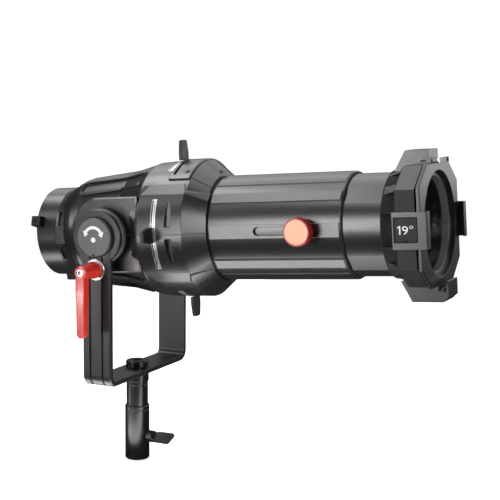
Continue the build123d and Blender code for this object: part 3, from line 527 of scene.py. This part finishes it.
# an arc with two arrow heads over a dot
for side, label in SIDES:
    place = YOKE @ Matrix.Translation((0, side * CAP_FACE, 0)) @ facing_out(side)
    arrow = plate_from(arc_arrow(ARROW_R, ARROW_WIDE, *ARROW_SPAN, ARROW_HEAD), SYMBOL_THICK)
    piece(f"tilt_symbol_arrow_{label}", arrow, place, "yoke", "white_print")
    dot = plate_from(oval(DOT_R, DOT_R, DOT_DOWN, 360, 28), SYMBOL_THICK)
    piece(f"tilt_symbol_dot_{label}", dot, place, "yoke", "white_print")


# ---------------------------------------- beam angle on the label plate
NUMBER_AT = (333.5, -68.24, -0.2)
NINE_SPAN = ((-3.4, 7.6), (-4.2, 4.3))  # the nine and the degree sign, across and up
ONE = [(-5.0, -4.2), (-5.0, 4.3), (-6.0, 4.3), (-8.2, 3.0), (-8.2, 1.5), (-6.5, 2.4), (-6.5, -4.2)]
PRINT_THICK = 0.06


def glyph_mesh(body):
    """Mesh of one or more characters in Blender's own font."""
    text = bpy.data.curves.new("glyphs", "FONT")
    text.body = body
    text.size = 12.6
    text.offset = 0.03
    text.extrude = PRINT_THICK
    glyphs = bpy.data.objects.new("glyphs", text)
    scene.collection.objects.link(glyphs)
    bpy.context.view_layer.update()
    mesh = bpy.data.meshes.new_from_object(glyphs.evaluated_get(bpy.context.evaluated_depsgraph_get()))
    bpy.data.objects.remove(glyphs)
    return mesh


def fit_to(mesh, spans):
    """Matrix that stretches a mesh to the given spans of u and v."""
    fit = Matrix.Identity(4)
    for i, (lo, hi) in enumerate(spans):
        places = [v.co[i] for v in mesh.vertices]
        fit[i][i] = (hi - lo) / (max(places) - min(places))
        fit[i][3] = lo - min(places) * fit[i][i]
    return fit


place = LEVEL @ Matrix.Translation(NUMBER_AT) @ facing_out(-1)
nine = glyph_mesh("9°")
nine.transform(place @ fit_to(nine, NINE_SPAN))
attach(bpy.data.objects.new("beam_angle_nine", nine), "lens_slide", "white_print")
piece("beam_angle_one", plate_from(ONE, PRINT_THICK), place, "lens_slide", "white_print")


# ------------------------------------------------------------------- dark rings
CAP_SEAT = 85.75                        # where a round cover's rim meets the yoke arm
CAP_SHADOW_RING = [(20.45, 0.0), (21.5, 0.1), (21.6, 1.4), (21.2, 1.9), (20.45, 2.0)]
BARREL_DARK_RING_X, HOLDER_SHADOW_RING_X = 262.4, 303.2
BARREL_DARK_RING = [(52.62, 0.0), (54.3, 0.0), (54.3, 0.8), (53.6, 1.3), (52.62, 1.3)]
HOLDER_SHADOW_RING = [(52.56, 0.0), (54.2, 0.0), (54.9, 0.5), (54.9, 19.0), (52.56, 19.0)]

# dark ring under the rim of each round cover: painted shadow of the rim
for side, label in SIDES:
    place = YOKE @ Matrix.Translation((0, side * CAP_SEAT, 0)) @ facing_out(side)
    piece(f"cap_shadow_ring_{label}", ring_of(CAP_SHADOW_RING), place, "yoke", "felt_black")

# dark felt ring where the lens tube enters the barrel
place = LEVEL @ Matrix.Translation((BARREL_DARK_RING_X, 0, 0)) @ ALONG_BARREL
piece("barrel_dark_ring", ring_of(BARREL_DARK_RING, 192), place, "optic", "felt_black")

# dark felt ring between the lens tube and the drum of the front holder: painted shadow under the drum's overhang
place = LEVEL @ Matrix.Translation((HOLDER_SHADOW_RING_X, 0, 0)) @ ALONG_BARREL
piece("holder_shadow_ring", ring_of(HOLDER_SHADOW_RING, 192), place, "lens_slide", "felt_black")


# ------------------------------------------------ label edging, latch tip
EDGING_AT = (333.5, -68.28, -0.25)
EDGING_OUTER, EDGING_INNER, EDGING_THICK = (12.0, 12.25), (11.0, 11.3), 0.3
NOTCH_WIDE, NOTCH_HIGH, NOTCH_DOWN, NOTCH_THICK = 2.0, 1.9, 11.4, 0.32
TIP_AT = (350.0, 21.0, 62.5)
TIP = [(1.0, -1.3), (2.62, -1.3), (2.72, -0.9), (2.72, 6.0), (2.55, 6.3), (1.0, 6.3)]
TIP_STRETCH = (1.13, 1.27, 1, 1)

# dark edging around the label plate, with the notch that it is prised out by
place = LEVEL @ Matrix.Translation(EDGING_AT) @ facing_out(-1)
edging = frame_of(EDGING_OUTER, EDGING_INNER, EDGING_THICK)
piece("label_edging", edging, place, "lens_slide", "felt_black")
half_round = oval(NOTCH_WIDE, NOTCH_HIGH, NOTCH_DOWN, 180, 14) + [(-NOTCH_WIDE, -NOTCH_DOWN)]
notch = plate_from(half_round, NOTCH_THICK)
piece("label_notch", notch, place, "lens_slide", "felt_black")

# black sleeve on the free end of the latch: a ring of four sides, turned square to the latch
square = Matrix.Diagonal(TIP_STRETCH) @ Matrix.Rotation(math.radians(45), 4, "Z")
place = LEVEL @ Matrix.Translation(TIP_AT) @ TO_CLAMP_SIDE @ square
piece("latch_tip", ring_of(TIP, 4), place, "latch", "felt_black")


# ----------------------------------------------- spring in the clamp lever
# It is compressed against the screw's head when the lever is lifted to be re-set.
CLAMP_Z = -34.0
SPRING_FROM, SPRING_TO = -106.55, -113.3
SPRING_R, SPRING_WIRE, SPRING_PITCH = 3.05, 0.34, 1.45

coil_height = SPRING_FROM - SPRING_TO - 4 * SPRING_WIRE
place = YOKE @ Matrix.Translation((0, SPRING_FROM - SPRING_WIRE, CLAMP_Z)) @ TO_CLAMP_SIDE
coil = coil_of(SPRING_R, SPRING_WIRE, SPRING_PITCH, coil_height)
spring = piece("clamp_lever_spring", coil, place, "clamp_core", "spring_steel")
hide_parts("clamp_spring")
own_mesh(spring)


# ------------------------------------------------------------------ camera
CAMERA_AT = Vector((0.7033, -1.2096, 0.4154))
CAMERA_FORWARD = Vector((-0.41972, 0.89881, -0.12632))
CAMERA_UP = Vector((-0.06200, 0.11046, 0.99195))
CAMERA_LENS = 91.1


def look(position, forward, up):
    """Matrix of a camera or light that points along `forward`."""
    right = forward.cross(up).normalized()
    up = right.cross(forward).normalized()
    m = Matrix.Identity(4)
    for i in range(3):
        m[i][0], m[i][1], m[i][2], m[i][3] = right[i], up[i], -forward[i], position[i]
    return m


lens = bpy.data.cameras.new("camera")
lens.sensor_width = 36.0
lens.lens = CAMERA_LENS
lens.clip_start = 0.05
camera = bpy.data.objects.new("camera", lens)
scene.collection.objects.link(camera)
camera.matrix_world = look(CAMERA_AT, CAMERA_FORWARD, CAMERA_UP)
scene.camera = camera


# ------------------------------------------------------------------ lights
def area(name, place, target, size, power):
    """Soft rectangular light at `place`, facing `target`, in metres and watts."""
    light = bpy.data.lights.new(name, "AREA")
    light.shape = "RECTANGLE"
    light.size, light.size_y = size
    light.energy = power
    obj = bpy.data.objects.new(name, light)
    scene.collection.objects.link(obj)
    direction = (Vector(target) - Vector(place)).normalized()
    obj.matrix_world = look(Vector(place), direction, Vector((0, 0.001, 1)))
    obj.visible_camera = False


area("top_softbox", (-0.75, -0.48, 1.95), (0.15, 0, 0.25), (2.4, 0.50), 16)
area("overhead", (0.1, 0.7, 2.15), (0.1, 0.1, 0.2), (3.6, 2.0), 37)
area("back_high", (-0.7, 1.9, 1.55), (0.1, 0, 0.3), (2.2, 1.3), 8.5)
area("front_window", (-0.15, -0.95, 0.35), (0.06, 0, 0.33), (0.40, 0.50), 5.2)
area("low_left", (-0.44, -0.95, 0.045), (0.0, 0, 0.10), (0.18, 0.06), 0.70)
area("left_window", (-0.80, -0.80, 1.10), (-0.1, 0, 0.28), (0.30, 0.35), 1.0)
area("left_softbox", (-1.7, -0.9, 0.85), (0.0, 0, 0.25), (0.45, 0.8), 6)
area("front_right", (1.5, -0.9, 0.60), (0.3, 0, 0.28), (0.35, 0.9), 9.5)
area("back_rim", (0.95, 1.7, 0.72), (0.15, 0, 0.25), (1.5, 1.0), 8)
area("floor_bounce", (0.155, -0.085, 0.012), (0.155, -0.085, 1.0), (0.50, 0.09), 0.74)
area("floor_left", (-0.21, -0.13, 0.012), (-0.21, -0.13, 1.0), (0.12, 0.10), 0.15)


# ------------------------------------------------------ backdrop and floor
BACKDROP_SEEN, BACKDROP_LIGHT = 1.05, 0.04
FLOOR_HALF = 0.75
FLOOR_AT = (0.1, 0.55, cad_box[0][2] - 0.0005)


def add_backdrop():
    """White to the eye, but it lights the object only a little."""
    world = bpy.data.worlds.new("studio")
    scene.world = world
    world.use_nodes = True
    tree = world.node_tree
    background = tree.nodes["Background"]
    background.inputs["Color"].default_value = (1, 1, 1, 1)
    ray = tree.nodes.new("ShaderNodeLightPath")
    strength = tree.nodes.new("ShaderNodeMapRange")
    strength.inputs["To Min"].default_value = BACKDROP_LIGHT
    strength.inputs["To Max"].default_value = BACKDROP_SEEN
    tree.links.new(ray.outputs["Is Camera Ray"], strength.inputs["Value"])
    tree.links.new(strength.outputs["Result"], background.inputs["Strength"])


def add_floor():
    """Plain white floor that shows no glare in the paint."""
    mesh = bpy.data.meshes.new("floor")
    bm = bmesh.new()
    bmesh.ops.create_grid(bm, x_segments=2, y_segments=2, size=FLOOR_HALF)
    bm.to_mesh(mesh)
    bm.free()
    net = Net("floor_white")
    speck = net.remap(net.noise(8.0, 3.0), 0.3, 0.7, 0, 1)
    net.feed(net.mix(speck, (0.93, 0.93, 0.93), (0.95, 0.95, 0.95)), "Base Color")
    net.set(Roughness=0.9, Specular_IOR_Level=0.1, Emission_Color=(1, 1, 1, 1), Emission_Strength=0.6)
    mesh.materials.append(net.mat)
    floor = bpy.data.objects.new("floor", mesh)
    scene.collection.objects.link(floor)
    floor.location = FLOOR_AT
    floor.visible_glossy = False


add_backdrop()
add_floor()
scene.view_settings.view_transform = "Standard"
